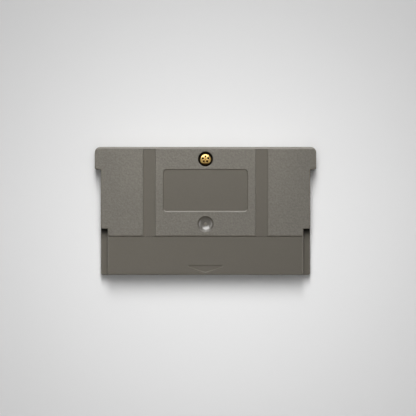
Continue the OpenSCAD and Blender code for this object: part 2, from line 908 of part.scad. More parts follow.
// Bodies of small two-ended parts that lie along Y
module part_bodies(places, l, w, t) {
    for (at = places)
        translate([at[0] - w / 2, at[1] - l / 2 + end_l, top_z])
            cube([w, l - 2 * end_l, t]);
}

// Their metal ends
module part_ends(places, l, w, t) {
    for (at = places, y = [at[1] - l / 2, at[1] + l / 2 - end_l])
        translate([at[0] - w / 2, y, top_z])
            cube([w, end_l, t]);
}

module ceramic_capacitors() {
    color([0.72, 0.6, 0.45])
        part_bodies(cap_places(), cap_l, cap_w, cap_t);
}

module capacitor_end_caps() {
    color([0.76, 0.77, 0.78])
        part_ends(cap_places(), cap_l, cap_w, cap_t);
}

module chip_resistors() {
    color([0.1, 0.1, 0.11])
        part_bodies(res_places(), res_l, res_w, res_t);
}

module resistor_end_caps() {
    color([0.76, 0.77, 0.78])
        part_ends(res_places(), res_l, res_w, res_t);
}

// Diode that keeps the cell from feeding the console
module steering_diode() {
    color([0.13, 0.13, 0.14])
        translate([diode_x - diode_w / 2, small_y - diode_l / 2, top_z + chip_lift])
            cube([diode_w, diode_l, diode_t]);
}

// Its three leads, two on one side and one on the other
module diode_leads() {
    out = diode_lead_out;
    z = chip_lift + diode_t / 2;
    t = lead_t;
    color([0.72, 0.73, 0.75])
        translate([diode_x, small_y, 0])
            for (leg = [[0, -1], [0, 1], [180, 0]])
                rotate([0, 0, leg[0]])
                    translate([diode_w / 2, leg[1] * diode_pitch, top_z])
                        rotate([90, 0, 0])
                            linear_extrude(diode_lead_w, center = true)
                                polygon([
                                    [0, z], [0, z + t], [out / 2, z + t], [out / 2, t],
                                    [out, t], [out, 0], [out / 2 - t, 0], [out / 2 - t, z]
                                ]);
}

front_shell();
rear_shell();
case_screw();
front_label();
circuit_board();
edge_contacts();
rom_chip();
rom_leads();
save_ram_chip();
save_ram_leads();
supply_switch_chip();
supply_switch_leads();
logic_chip();
logic_leads();
backup_battery();
battery_top_tab();
battery_bottom_tab();
tab_solder();
ceramic_capacitors();
capacitor_end_caps();
chip_resistors();
resistor_end_caps();
steering_diode();
diode_leads();
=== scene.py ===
import math
import bmesh
import bpy
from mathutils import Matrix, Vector


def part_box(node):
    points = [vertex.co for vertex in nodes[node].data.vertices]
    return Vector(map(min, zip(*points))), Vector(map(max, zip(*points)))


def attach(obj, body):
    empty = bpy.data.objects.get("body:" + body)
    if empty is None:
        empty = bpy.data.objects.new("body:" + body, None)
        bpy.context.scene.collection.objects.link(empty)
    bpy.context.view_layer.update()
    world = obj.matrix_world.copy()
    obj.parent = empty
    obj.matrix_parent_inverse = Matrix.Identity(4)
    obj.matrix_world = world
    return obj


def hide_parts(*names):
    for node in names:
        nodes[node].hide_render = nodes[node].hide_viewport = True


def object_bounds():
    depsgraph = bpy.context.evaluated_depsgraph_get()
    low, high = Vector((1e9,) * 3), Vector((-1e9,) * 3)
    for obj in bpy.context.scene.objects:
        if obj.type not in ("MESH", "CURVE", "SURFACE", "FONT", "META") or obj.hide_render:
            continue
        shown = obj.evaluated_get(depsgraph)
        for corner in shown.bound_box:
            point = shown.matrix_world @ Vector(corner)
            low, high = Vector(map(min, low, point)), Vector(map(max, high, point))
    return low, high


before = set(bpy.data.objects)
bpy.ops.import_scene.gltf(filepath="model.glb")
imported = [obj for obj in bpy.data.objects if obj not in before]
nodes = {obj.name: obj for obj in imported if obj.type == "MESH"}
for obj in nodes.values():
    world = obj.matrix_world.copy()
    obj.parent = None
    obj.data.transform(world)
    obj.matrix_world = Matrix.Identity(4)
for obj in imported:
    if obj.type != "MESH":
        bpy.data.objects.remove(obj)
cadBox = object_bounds()
scene = bpy.context.scene
mm = 0.001
print("frame loaded:", len(nodes), "nodes")


# Camera: straight above the rear face with a long lens, as in the photograph
cameraSetup = {
    "distance": 2000 * mm,
    "sensor": 36,  # millimetres, as the lens
    "pictureSide": 416,  # pixels
    "pixel": 0.2709 * mm,  # what one pixel covers at the rear face
    "objectAt": (205.5, 210.95),  # pixel where the object's centre lies
    "clip": (10 * mm, 10),  # nearest and farthest that it sees
}


def makeCamera(setup):
    side, pixel = setup["pictureSide"], setup["pixel"]
    data = bpy.data.cameras.new("camera")
    data.sensor_width = setup["sensor"]
    data.lens = setup["sensor"] * (setup["distance"] - cadBox[1].z) / (side * pixel)
    data.clip_start, data.clip_end = setup["clip"]
    camera = bpy.data.objects.new("camera", data)
    x, y = setup["objectAt"]
    camera.location = ((side / 2 - x) * pixel, (y - side / 2) * pixel, setup["distance"])
    scene.collection.objects.link(camera)
    scene.camera = camera
    return camera


pictureCentre = makeCamera(cameraSetup).location.xy / mm
print("camera placed")


# Node helpers
def addNode(tree, kind, values=None, **settings):
    made = tree.nodes.new(kind)
    for name, value in settings.items():
        setattr(made, name, value)
    for socket, value in (values or {}).items():
        made.inputs[socket].default_value = value
    return made


def calc(tree, operation, first, second=None):
    made = addNode(tree, "ShaderNodeMath", operation=operation)
    for socket, value in enumerate((first, second)):
        if isinstance(value, (int, float)):
            made.inputs[socket].default_value = value
        elif value is not None:
            tree.links.new(value, made.inputs[socket])
    return made.outputs[0]


def ramp(tree, value, start, end, low=0.0, high=1.0, smooth=False):
    kind = "SMOOTHSTEP" if smooth else "LINEAR"
    limits = {"From Min": start, "From Max": end, "To Min": low, "To Max": high}
    made = addNode(tree, "ShaderNodeMapRange", limits, interpolation_type=kind)
    tree.links.new(value, made.inputs["Value"])
    return made.outputs["Result"]


# 1 from low to high, fading out over the given width beyond both
def between(tree, value, low, high, fade):
    rising = ramp(tree, value, low - fade, low)
    return calc(tree, "MULTIPLY", rising, ramp(tree, value, high + fade, high))


def mixed(tree, factor, first, second, blend="MIX"):
    made = addNode(tree, "ShaderNodeMix", data_type="RGBA", blend_type=blend)
    for socket, value in (("Factor", factor), ("A", first), ("B", second)):
        target = next(i for i in made.inputs if i.name == socket and i.enabled)
        if isinstance(value, tuple):
            target.default_value = (*value, 1)
        elif isinstance(value, (int, float)):
            target.default_value = value
        else:
            tree.links.new(value, target)
    return next(o for o in made.outputs if o.enabled)


def noiseOf(tree, vector, scale, detail=2.0, roughness=0.5):
    values = {"Scale": scale, "Detail": detail, "Roughness": roughness}
    made = addNode(tree, "ShaderNodeTexNoise", values)
    tree.links.new(vector, made.inputs["Vector"])
    return made.outputs["Fac"]


# Object coordinates in millimetres
def millimetres(tree):
    coordinates = addNode(tree, "ShaderNodeTexCoord")
    scaled = addNode(tree, "ShaderNodeVectorMath", {"Scale": 1 / mm}, operation="SCALE")
    tree.links.new(coordinates.outputs["Object"], scaled.inputs[0])
    return scaled.outputs[0]


def alongAxis(tree, vector, axis):
    parts = addNode(tree, "ShaderNodeSeparateXYZ")
    tree.links.new(vector, parts.inputs[0])
    return parts.outputs[axis]


# The same coordinates, stretched along each axis so that a noise becomes strokes
def stretched(tree, vector, factors):
    made = addNode(tree, "ShaderNodeVectorMath", {1: factors}, operation="MULTIPLY")
    tree.links.new(vector, made.inputs[0])
    return made.outputs[0]


# Distance from an upright line at x, y, in millimetres
def distanceFrom(tree, vector, x, y):
    flat = stretched(tree, vector, (1, 1, 0))
    away = addNode(tree, "ShaderNodeVectorMath", {1: (x, y, 0)}, operation="DISTANCE")
    tree.links.new(flat, away.inputs[0])
    return away.outputs["Value"]


# A colour times 1 plus the contrast of a noise around its middle
def mottled(tree, colour, noise, contrast):
    change = calc(tree, "MULTIPLY", calc(tree, "SUBTRACT", noise, 0.5), contrast)
    level = calc(tree, "ADD", change, 1.0)
    tone = addNode(tree, "ShaderNodeCombineColor")
    for channel in ("Red", "Green", "Blue"):
        tree.links.new(level, tone.inputs[channel])
    return mixed(tree, 1.0, colour, tone.outputs["Color"], "MULTIPLY")


def newMaterial(name, colour, roughness, metallic=0.0):
    material = bpy.data.materials.new(name)
    material.use_nodes = True
    tree = material.node_tree
    shader = tree.nodes["Principled BSDF"]
    shader.inputs["Base Color"].default_value = (*colour, 1)
    shader.inputs["Roughness"].default_value = roughness
    shader.inputs["Metallic"].default_value = metallic
    return material, tree, shader


def feed(tree, shader, socket, value):
    tree.links.new(value, shader.inputs[socket])


def painted(tree, shader, colour, noise, contrast):
    feed(tree, shader, "Base Color", mottled(tree, colour, noise, contrast))


# Roughness that a noise moves below and above its middle value by the two spreads
def roughened(tree, shader, noise, middle, spreads, start=0.3, end=0.7):
    low, high = middle - spreads[0], middle + spreads[1]
    feed(tree, shader, "Roughness", ramp(tree, noise, start, end, low, high))


def bumped(tree, shader, height, distance, strength=1.0):
    bump = addNode(tree, "ShaderNodeBump", {"Distance": distance, "Strength": strength})
    tree.links.new(height, bump.inputs["Height"])
    feed(tree, shader, "Normal", bump.outputs["Normal"])


# Studio: pale floor, a long softbox, a soft light overhead, four reflector cards and a dim
# world. Each lamp stands at an elevation and an azimuth from the object's middle, azimuth 0
# towards +Y and 90 towards +X, and its spans are the angles it covers across and upwards. Its
# share is the light it gives a level surface, where 1 shows a colour as it is written. The
# cards show in glossy surfaces only, as bright as their radiance says, where 1 is white.
studio = {
    "floorSide": 3.0,
    "floorDrop": 0.01 * mm,  # below the object, so that the two faces don't fight
    "floorRoughness": 0.9,
    "floorGloss": 0.1,
    # painted light: the floor paler in the picture's middle, darker towards its corners
    "floorPaintedPool": [(0.0, 0.99), (0.25, 0.985), (0.5, 0.885), (0.72, 0.80), (1.0, 0.669)],
    "floorReach": 80,  # millimetres from the middle to the last stop
    "floorTilt": (0.0001, -0.0009),  # paleness per millimetre along X and Y, evens the lamps
    "tiltLimit": 0.2,
    "lampAim": (0.0, 0.0, 4 * mm),
    "worldLight": 0.08,
    "worldSeen": 0.45,
}
lamps = {
    "key": {"elevation": 62.5, "azimuth": -1, "distance": 2.00, "spans": (13, 40), "share": 0.565},
    "over": {"elevation": 88, "azimuth": 0, "distance": 0.35, "spans": (26, 48), "share": 0.27},
}
cards = {
    "highCard": {
        "elevation": 57, "azimuth": -11, "distance": 0.30, "spans": (51, 40), "radiance": 7.0,
    },
    "lowCard": {
        "elevation": 13, "azimuth": 0, "distance": 0.60, "spans": (100, 26), "radiance": 9.2,
    },
    "leftCard": {
        "elevation": 34, "azimuth": -90, "distance": 0.40, "spans": (50, 20), "radiance": 3.6,
    },
    "rightCard": {
        "elevation": 34, "azimuth": 90, "distance": 0.50, "spans": (50, 20), "radiance": 3.6,
    },
}


def makeFloor(setup):
    mesh = bpy.data.meshes.new("floor")
    shape = bmesh.new()
    bmesh.ops.create_grid(shape, x_segments=1, y_segments=1, size=setup["floorSide"] / 2)
    bmesh.ops.translate(shape, verts=shape.verts, vec=(0, 0, -setup["floorDrop"]))
    shape.to_mesh(mesh)
    shape.free()
    floor = bpy.data.objects.new("floor", mesh)
    scene.collection.objects.link(floor)
    material, tree, shader = newMaterial("floorPaper", (0.8, 0.8, 0.8), setup["floorRoughness"])
    shader.inputs["Specular IOR Level"].default_value = setup["floorGloss"]
    vector = millimetres(tree)
    away = distanceFrom(tree, vector, *pictureCentre)
    # painted pool of light, falling off from the picture's middle
    paintedPool = addNode(tree, "ShaderNodeValToRGB")
    paintedPool.color_ramp.interpolation = "B_SPLINE"
    stops = paintedPool.color_ramp.elements
    while len(stops) < len(setup["floorPaintedPool"]):
        stops.new(0.5)
    for stop, (position, value) in zip(stops, setup["floorPaintedPool"]):
        stop.position = position
        stop.color = (value, value, value, 1)
    tree.links.new(ramp(tree, away, 0, setup["floorReach"]), paintedPool.inputs["Fac"])
    changes = [
        calc(tree, "MULTIPLY", alongAxis(tree, vector, axis), change)
        for axis, change in zip("XY", setup["floorTilt"])
    ]
    limit = setup["tiltLimit"]
    tilt = ramp(tree, calc(tree, "ADD", *changes), -limit, limit, 0.5 - limit, 0.5 + limit)
    painted(tree, shader, paintedPool.outputs["Color"], tilt, 1.0)
    mesh.materials.append(material)


def makeLamp(name, lamp, aim):
    up, around = math.radians(lamp["elevation"]), math.radians(lamp["azimuth"])
    level = math.cos(up)
    direction = Vector((level * math.sin(around), level * math.cos(around), math.sin(up)))
    widths = [2 * lamp["distance"] * math.tan(math.radians(span / 2)) for span in lamp["spans"]]
    data = bpy.data.lights.new(name, "AREA")
    data.shape = "ELLIPSE"
    data.size, data.size_y = widths
    if "share" in lamp:
        data.energy = lamp["share"] * math.pi ** 2 * lamp["distance"] ** 2 / math.sin(up)
    else:
        data.energy = lamp["radiance"] * math.pi ** 2 / 4 * data.size * data.size_y
    light = bpy.data.objects.new(name, data)
    light.location = Vector(aim) + direction * lamp["distance"]
    light.rotation_euler = (-direction).to_track_quat("-Z", "Y").to_euler()
    light.visible_camera = False
    light.visible_diffuse = "share" in lamp
    light.visible_glossy = "radiance" in lamp
    scene.collection.objects.link(light)


def makeWorld(setup):
    world = bpy.data.worlds.new("studio")
    scene.world = world
    world.use_nodes = True
    tree = world.node_tree
    back = tree.nodes["Background"]
    back.inputs["Color"].default_value = (1, 1, 1, 1)
    path = addNode(tree, "ShaderNodeLightPath")
    seen = path.outputs["Is Camera Ray"]
    for ray in ("Is Glossy Ray", "Is Transmission Ray"):
        seen = calc(tree, "MAXIMUM", seen, path.outputs[ray])
    feed(tree, back, "Strength", ramp(tree, seen, 0, 1, setup["worldLight"], setup["worldSeen"]))


makeFloor(studio)
for name, lamp in (lamps | cards).items():
    makeLamp(name, lamp, studio["lampAim"])
makeWorld(studio)
scene.view_settings.view_transform = "Standard"
print("studio made")


# A CAD node's mesh, merged and rid of the lines across its flat faces
def mergedCopy(node, weld=0.002 * mm, flat=0.4):
    shape = bmesh.new()
    shape.from_mesh(nodes[node].data)
    bmesh.ops.remove_doubles(shape, verts=shape.verts, dist=weld)
    bmesh.ops.dissolve_limit(
        shape, angle_limit=math.radians(flat), verts=shape.verts, edges=shape.edges,
        use_dissolve_boundaries=False,
    )
    return shape


def foldedEdges(shape, angle, chosen=None):
    limit = math.radians(angle)
    return [
        edge for edge in shape.edges
        if edge.is_manifold and edge.calc_face_angle(0) > limit
        and (chosen is None or chosen(edge))
    ]


def softened(shape, width, segments=2, angle=30, chosen=None):
    bmesh.ops.bevel(
        shape, geom=foldedEdges(shape, angle, chosen), offset=width, offset_type="OFFSET",
        segments=segments, profile=0.5, affect="EDGES", clamp_overlap=True, material=-1,
    )
    return shape


# Spins a line of (radius, height) points about an upright axis through the given place
def spunShape(outline, place, steps, weld=0.0005 * mm):
    shape = bmesh.new()
    line = [shape.verts.new((radius * mm, 0, height * mm)) for radius, height in outline]
    edges = [shape.edges.new(pair) for pair in zip(line, line[1:])]
    bmesh.ops.spin(
        shape, geom=line + edges, cent=(0, 0, 0), axis=(0, 0, 1), angle=2 * math.pi,
        steps=steps, use_merge=True,
    )
    bmesh.ops.remove_doubles(shape, verts=shape.verts, dist=weld)
    bmesh.ops.recalc_face_normals(shape, faces=shape.faces)
    bmesh.ops.translate(shape, verts=shape.verts, vec=place)
    return shape


def addPiece(name, shape, materials, replaced, sharpAngle=38):
    mesh = bpy.data.meshes.new(name)
    shape.to_mesh(mesh)
    shape.free()
    if "custom_normal" in mesh.attributes:  # left over from the merged triangles
        mesh.attributes.remove(mesh.attributes["custom_normal"])
    for face in mesh.polygons:
        face.use_smooth = True
    mesh.set_sharp_from_angle(angle=math.radians(sharpAngle))
    for material in materials:
        mesh.materials.append(material)
    piece = bpy.data.objects.new(name, mesh)
    scene.collection.objects.link(piece)
    shading = piece.modifiers.new("evenShading", "WEIGHTED_NORMAL")
    shading.keep_sharp = True
    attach(piece, "root")
    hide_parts(replaced)


# A piece that keeps its CAD node's shape apart from its softened edges
def addSoftened(name, node, material, width, segments=2, angle=30):
    addPiece(name, softened(mergedCopy(node), width, segments, angle), [material], node)


# Moulded plastic of both shells: grained on the raised faces, smoother where the mould is
# polished, and glossier on the slopes and roundings between the faces and in the dimple.
# Lengths and places are in millimetres.
shellPlastic = {
    "raisedColour": (0.1365, 0.1257, 0.1035),
    "smoothColour": (0.1195, 0.1075, 0.0860),
    # painted light: the slopes and roundings lighter than the faces
    "rimColour": (0.145, 0.1305, 0.1045),
    # painted shade: the dimple's bowl darker than the faces
    "bowlColour": (0.084, 0.075, 0.060),
    # painted light: the nub lighter than the bowl
    "nubColour": (0.158, 0.142, 0.113),
    "holeColour": (0.012, 0.009, 0.006),  # painted shade down in the screw's counterbore
    # painted shade on the rails under the notch's end
    "dustColour": (0.0, 0.0, 0.0),
    "raisedAbove": 7.9,  # rear faces above this are grained
    "frontBelow": 0.06,  # and front faces below this
    "levelFade": 0.1,  # height over which the grain gives way
    "raisedRoughness": 0.60,
    "smoothRoughness": 0.42,
    "rimRoughness": 0.30,
    "rimSpreads": (0.02, 0.03),
    "bowlRoughness": 0.24,
    "dullRoughness": 0.42,  # at the dimple's steep rim and on its nub
    "raisedGloss": 0.37,
    "smoothGloss": 0.25,
    "rimGloss": 0.36,
    "bowlGloss": 0.98,
    "dullGloss": 0.34,
    "holeGloss": 0.03,
    "shadedGloss": 0.1,  # share of gloss left on the faces under the painted shade down the hole and at the notch's end
    "dimpleAt": (0.0, -3.53),
    "dimpleRadius": 2.17,
    "dimpleAbove": 7,  # all of the dimple is higher than this
    "bowlRadius": 1.45,  # polished middle of the dimple, inside its steep rim
    "bowlFade": 0.45,
    "nubRadius": 0.325,
    "nubRounding": 0.1,
    "nubFade": (0.55, 0.3),
    "holeAt": (0.0, 14.05),
    "holeRadius": 2.05,
    "holeEdge": 0.03,
    "holeShade": (7.85, 7.45),  # heights between which the painted shade in the counterbore turns dark
    "railAcross": (26.52, 28.3),  # front shell's rails beside the tongue, from the centre line
    "railHeight": (3.7, 4.2),
    "railFade": (0.05, 0.1),  # across and in height
    "railAlong": (-6.5, -5.1),  # where painted shade darkens them towards the notch's end
    "dustShare": 0.9,
    "edgeRounding": 0.3,  # the CAD model's, on the rim of each face
    "endRounding": 1.75,  # how many times larger it is made on edges facing the connector end
    "cornerRadius": 0.6,
    # Those edges: Y of the edge, height of its face, X of its corners' axes, X where it starts
    "endEdges": [(-17.35, 7.6, 25.9, 0), (11.15, 8.0, 29.4, 28.41)],
    "rimSlopes": (0.15, 0.995),  # upright share of the normal on slopes and roundings
    "grainScale": 1.9,  # per millimetre
    "grainDetail": 3,
    "grainRoughness": 0.65,
    "grainDepth": 0.09 * mm,
    "grainContrast": 0.85,
    "smoothGrain": 0.14,  # share of the grain left on the polished faces
    "rimDepth": 0.003 * mm,
    "rimContrast": 0.1,
    "driftScale": 0.06,
    "driftContrast": 0.04,
    "fading": (-0.0025, 0.0016),  # painted light: change of tone per millimetre along X and Y
    "bloom": 0.12,  # painted light: paler tone towards the screw's end
    "bloomAlong": (1, 12),
    "bloomAcross": (28, 19),
    "sideDulling": 0.07,  # painted shade: duller tone towards both sides
    "smoothBloom": 0.4,  # share of both on the polished faces
}


def shellGrain(tree, vector, setup):
    return noiseOf(tree, vector, setup["grainScale"], setup["grainDetail"], setup["grainRoughness"])


# 1 down in the counterbore, fading to 0 at its rim: where its shade is painted
def insideHole(tree, vector, height, setup):
    away = distanceFrom(tree, vector, *setup["holeAt"])
    within = ramp(tree, away, setup["holeRadius"], setup["holeRadius"] - setup["holeEdge"])
    return calc(tree, "MULTIPLY", within, ramp(tree, height, *setup["holeShade"], smooth=True))


# 1 on the rails at the notch's end, fading out towards the connector end: where the shade under the
# notch's end is painted
def besideTongue(tree, x, y, height, setup):
    acrossFade, heightFade = setup["railFade"]
    across = between(tree, calc(tree, "ABSOLUTE", x), *setup["railAcross"], acrossFade)
    level = between(tree, height, *setup["railHeight"], heightFade)
    onRail = calc(tree, "MULTIPLY", across, level)
    return calc(tree, "MULTIPLY", onRail, ramp(tree, y, *setup["railAlong"]))


# Painted light and shade over the broad faces: paler towards the screw's end in the middle, darker
# towards both sides
def paintedBroadLight(tree, x, y, raised, setup):
    middle = ramp(tree, calc(tree, "ABSOLUTE", x), *setup["bloomAcross"], smooth=True)
    paler = ramp(tree, y, *setup["bloomAlong"], 0, setup["bloom"])
    paler = calc(tree, "MULTIPLY", paler, middle)
    shade = calc(tree, "SUBTRACT", paler, ramp(tree, middle, 0, 1, setup["sideDulling"], 0))
    contrast = setup["driftContrast"]
    scale = ramp(tree, raised, 0, 1, setup["smoothBloom"] / contrast, 1 / contrast)
    return calc(tree, "MULTIPLY", shade, scale)


def makeShellFaces(setup):
    material, tree, shader = newMaterial(
        "shellFaces", setup["smoothColour"], setup["smoothRoughness"],
    )
    vector = millimetres(tree)
    x, y, z = (alongAxis(tree, vector, axis) for axis in "XYZ")
    above, below, fade = setup["raisedAbove"], setup["frontBelow"], setup["levelFade"]
    rear, front = ramp(tree, z, above - fade, above), ramp(tree, z, below + fade, below)
    raised = calc(tree, "MAXIMUM", rear, front)
    amount = ramp(tree, raised, 0, 1, setup["smoothGrain"], 1)
    grain = calc(tree, "SUBTRACT", shellGrain(tree, vector, setup), 0.5)
    grain = calc(tree, "ADD", calc(tree, "MULTIPLY", grain, amount), 0.5)
    driftAndPaintedLight = noiseOf(tree, vector, setup["driftScale"])
    # random drift of tone, plus painted light changing steadily along X and Y
    for axis, fading in zip((x, y), setup["fading"]):
        change = calc(tree, "MULTIPLY", axis, fading / setup["driftContrast"])
        driftAndPaintedLight = calc(tree, "ADD", driftAndPaintedLight, change)
    driftAndPaintedLight = calc(tree, "ADD", driftAndPaintedLight, paintedBroadLight(tree, x, y, raised, setup))
    # painted shade down the screw's counterbore
    hole = insideHole(tree, vector, z, setup)
    # painted shade under the notch's end, on the rails
    notchShade = calc(tree, "MULTIPLY", besideTongue(tree, x, y, z, setup), setup["dustShare"])
    colour = mixed(tree, raised, setup["smoothColour"], setup["raisedColour"])
    colour = mixed(tree, hole, colour, setup["holeColour"])
    colour = mixed(tree, notchShade, colour, setup["dustColour"])
    colour = mottled(tree, colour, grain, setup["grainContrast"])
    colour = mottled(tree, colour, driftAndPaintedLight, setup["driftContrast"])
    gloss = ramp(tree, raised, 0, 1, setup["smoothGloss"], setup["raisedGloss"])
    shade = ramp(tree, calc(tree, "MAXIMUM", hole, notchShade), 0, 1, 1, setup["shadedGloss"])
    rough = ramp(tree, raised, 0, 1, setup["smoothRoughness"], setup["raisedRoughness"])
    feed(tree, shader, "Base Color", colour)
    feed(tree, shader, "Specular IOR Level", calc(tree, "MULTIPLY", gloss, shade))
    feed(tree, shader, "Roughness", rough)
    bumped(tree, shader, grain, setup["grainDepth"])
    return material


# Slopes and roundings: the shells' plastic with painted light, lighter than on the faces
def makeShellRims(setup):
    material, tree, shader = newMaterial("shellRims", setup["rimColour"], setup["rimRoughness"])
    vector = millimetres(tree)
    fine = shellGrain(tree, vector, setup)
    hole = insideHole(tree, vector, alongAxis(tree, vector, "Z"), setup)
    # painted shade down the screw's counterbore, on its slopes
    colour = mixed(tree, hole, setup["rimColour"], setup["holeColour"])
    gloss = ramp(tree, hole, 0, 1, setup["rimGloss"], setup["holeGloss"])
    painted(tree, shader, colour, fine, setup["rimContrast"])
    feed(tree, shader, "Specular IOR Level", gloss)
    roughened(tree, shader, fine, setup["rimRoughness"], setup["rimSpreads"])
    bumped(tree, shader, fine, setup["rimDepth"])
    return material


# The dimple: polished bowl, duller at its steep rim and on the nub in the middle; the bowl darker
# with painted shade and the nub lighter with painted light
def makeShellDimple(setup):
    material, tree, shader = newMaterial("shellDimple", setup["bowlColour"], setup["bowlRoughness"])
    vector = millimetres(tree)
    fine = shellGrain(tree, vector, setup)
    away = distanceFrom(tree, vector, *setup["dimpleAt"])
    bowl = setup["bowlRadius"]
    rim = ramp(tree, away, bowl, bowl + setup["bowlFade"], smooth=True)
    nub = ramp(tree, away, *setup["nubFade"], smooth=True)
    dull = calc(tree, "MAXIMUM", rim, nub)
    colour = mixed(tree, nub, setup["bowlColour"], setup["nubColour"])
    gloss = ramp(tree, dull, 0, 1, setup["bowlGloss"], setup["dullGloss"])
    rough = ramp(tree, dull, 0, 1, setup["bowlRoughness"], setup["dullRoughness"])
    painted(tree, shader, colour, fine, setup["rimContrast"])
    feed(tree, shader, "Specular IOR Level", gloss)
    feed(tree, shader, "Roughness", rough)
    bumped(tree, shader, fine, setup["rimDepth"])
    return material


# Enlarges the rounding of a top edge that faces the connector end: the edge runs along endY
# between two upright corners, whose axes stand at cornerX
def roundedMore(shape, endY, top, cornerX, fromX, setup, near=0.01):
    radius, rounding = setup["cornerRadius"], setup["edgeRounding"] + near
    for vert in shape.verts:
        x, y, z = (value / mm for value in vert.co)
        along = y - (endY + radius)
        if abs(x) < fromX or not (-radius - near < along < 0 and -near < top - z < rounding):
            continue
        out = max(abs(x) - cornerX, 0)
        away = math.hypot(out, along)
        if not -near <= radius - away <= rounding:
            continue
        growth = 1 + (setup["endRounding"] - 1) * (along / away) ** 2
        scale = (radius - (radius - away) * growth) / away
        if out > 0:
            vert.co.x = math.copysign(cornerX + out * scale, x) * mm
        vert.co.y = (endY + radius + along * scale) * mm
        vert.co.z = (top - (top - z) * growth) * mm


def roundedNub(shape, setup, angle=40):
    middle = Vector(setup["dimpleAt"]) * mm
    reach = setup["nubRadius"] * 1.02 * mm

    def onNub(edge):
        return all(
            (vert.co.xy - middle).length < reach and vert.co.z > setup["dimpleAbove"] * mm
            for vert in edge.verts
        )

    edges = foldedEdges(shape, angle, onNub)
    top = max(vert.co.z for edge in edges for vert in edge.verts) - 0.01 * mm

    def onTop(edge):
        return onNub(edge) and all(vert.co.z > top for vert in edge.verts)

    softened(shape, setup["nubRounding"] * mm, 3, angle, onTop)


# Tells the dimple's bowl and the slopes from the faces, for the three materials
def shellShape(node, setup):
    shape = mergedCopy(node)
    if node == "rear_shell":
        for edge in setup["endEdges"]:
            roundedMore(shape, *edge, setup)
        roundedNub(shape, setup)
    dimple = Vector(setup["dimpleAt"]) * mm
    level, upright = setup["rimSlopes"]
    for face in shape.faces:
        middle = face.calc_center_median()
        away = (middle.xy - dimple).length / mm
        if away < setup["dimpleRadius"] and middle.z > setup["dimpleAbove"] * mm:
            face.material_index = 2
        else:
            face.material_index = 1 if level < abs(face.normal.z) < upright else 0
    return shape


shellLook = [make(shellPlastic) for make in (makeShellFaces, makeShellRims, makeShellDimple)]
addPiece("rearShell", shellShape("rear_shell", shellPlastic), shellLook, "rear_shell")
addPiece("frontShell", shellShape("front_shell", shellPlastic), shellLook, "front_shell")
print("shells made")


# Screw: low domed head with five holes and shallow channels between them, and a threaded
# shank. Lengths are in millimetres, angles in degrees.
screw = {
    "axis": (0, 14.05),
    "headRadius": 1.5,
    "seat": 6.0,
    "crown": 7.1,
    "flatRadius": 0.1,
    "rimSlope": 15,  # of the dome at its rim
    "rimRounding": 0.14,
    "rings": 44,
    "lobeAt": 0.76,
    "lobeRadius": 0.285,
    "lobeDepth": 0.55,
    "lobeEdge": 0.03,
    "channelWidth": 0.17,
    "channelDepth": 0.11,
    "driveAbove": 6.8,  # the part of the head that takes the holes
    "driveWithin": 1.2,
    "coreRadius": 0.62,
    "crestRadius": 0.85,
    "tip": 1.8,
    "threadPitch": 0.75,
    "threadEnds": (0.4, 0.5),  # where it starts above the tip and stops below the head
    "threadRoot": 0.24,  # half its width on the core
    "threadCrest": 0.03,  # and at its crest
    "threadSteps": 32,  # in one turn
    "steps": 128,
    "colour": (0.78, 0.54, 0.18),
    "blotchColour": (0.62, 0.36, 0.11),
    # painted shade on the head's lower part and on its upper rim
    "paintedHeadShade": (0.08, 0.045, 0.014),
    # painted shade down in the five drive holes
    "holeColour": (0.024, 0.0125, 0.0045),
    "blotchScale": 1.6,
    "blotches": (0.42, 0.66),
    "lowerShadeAlong": (-0.75, -1.3),  # painted shade on the head's lower part, from the axis towards the connector end
    "shadeFreeAt": (0.04, -0.2),  # middle of the round left free of the painted shade on the head's upper rim, from the axis
    "rimShadeEdge": (1.38, 1.48),
    "roughness": 0.13,
    "roughSpreads": (0.03, 0.07),
    "gloss": 0.25,
    "headFrom": (6.2, 6.3),
    "headShine": 0.65,  # share of bare metal where a film dulls the head's top
    "fineScale": 9,
    "fineDepth": 0.006 * mm,
}


def smoothBetween(value, low, high):
    share = min(max((value - low) / (high - low), 0), 1)
    return share * share * (3 - 2 * share)


def screwOutline(setup):
    radius, core, seat, tip = (setup[key] for key in ("headRadius", "coreRadius", "seat", "tip"))
    inner, flat = radius - setup["rimRounding"], setup["flatRadius"]
    slope = math.tan(math.radians(setup["rimSlope"]))
    points = []
    for ring in range(setup["rings"] + 1):
        out = inner * ring / setup["rings"]
        along = max(out - flat, 0)
        points.append((out, setup["crown"] - slope * along * along / (2 * (inner - flat))))
    rimTop = points[-1][1]
    return points + [
        (radius - 0.02, rimTop - 0.03), (radius, rimTop - 0.1), (radius, seat + 0.05),
        (radius - 0.05, seat), (core + 0.1, seat), (core, seat - 0.1), (core, tip + 0.5),
        (core - 0.25, tip), (0, tip),
    ]


def lobeCentres(setup):
    angles = [math.radians(90 + 72 * turn) for turn in range(5)]
    return [Vector((math.cos(angle), math.sin(angle))) * setup["lobeAt"] for angle in angles]


def awayFromSpoke(at, end):
    share = min(max(at.dot(end) / end.length_squared, 0), 1)
    return (at - end * share).length


# Sinks the holes and channels into the head's own rings
def cutDrive(shape, setup):
    lobes = lobeCentres(setup)
    radius, edge, width = setup["lobeRadius"], setup["lobeEdge"], setup["channelWidth"]
    for vert in shape.verts:
        at = vert.co.xy / mm
        if vert.co.z / mm < setup["driveAbove"] or at.length > setup["driveWithin"]:
            continue
        hole = min((at - lobe).length for lobe in lobes)
        channel = min(awayFromSpoke(at, lobe) for lobe in lobes)
        shallow = setup["channelDepth"] * (1 - smoothBetween(channel, width / 2, width))
        deep = setup["lobeDepth"] * (1 - smoothBetween(hole, radius - edge, radius + edge))
        vert.co.z -= max(shallow, deep) * mm


